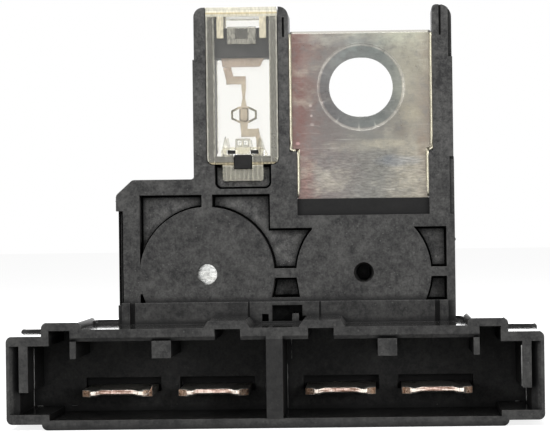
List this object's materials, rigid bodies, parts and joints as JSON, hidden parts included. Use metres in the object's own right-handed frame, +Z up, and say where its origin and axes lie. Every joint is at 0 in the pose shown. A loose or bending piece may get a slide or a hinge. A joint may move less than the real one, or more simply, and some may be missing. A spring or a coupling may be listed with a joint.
{
  "type": "battery fuse unit",
  "caption": "Battery fuse unit with a stud bus bar, a windowed main link in a tower and two wide blade sockets.",
  "frame": {"origin": "middle of the bounding box, at the level of the sockets' flat underside", "axes": "+X to the right along the sockets, +Y away from the sockets' mouths, +Z up the tower"},
  "size_m": [0.0712, 0.027, 0.057],
  "materials": {
    "black_moulding": "moulded, glass filled",
    "tinned_bar": "tin plated copper, rubbed",
    "link_metal": "dull plated copper alloy",
    "tin": "dull tin",
    "bare_copper": "sheared copper with plated faces",
    "clear_cover": "clear, slightly yellow"
  },
  "bodies": {
    "root": {"housing": "black_moulding", "bus_bar": "tinned_bar", "load_plate": "tinned_bar", "main_fuse_link": "link_metal", "main_link_pellet": "tin", "front_window_cover": "clear_cover", "rear_window_cover": "clear_cover", "rear_link_cover": "clear_cover", "blade_terminal_1": "bare_copper", "branch_pellet_1": "tin", "blade_terminal_2": "bare_copper", "branch_pellet_2": "tin", "blade_terminal_3": "bare_copper", "branch_pellet_3": "tin", "blade_terminal_4": "bare_copper", "branch_pellet_4": "tin"}
  },
  "joints": []
}
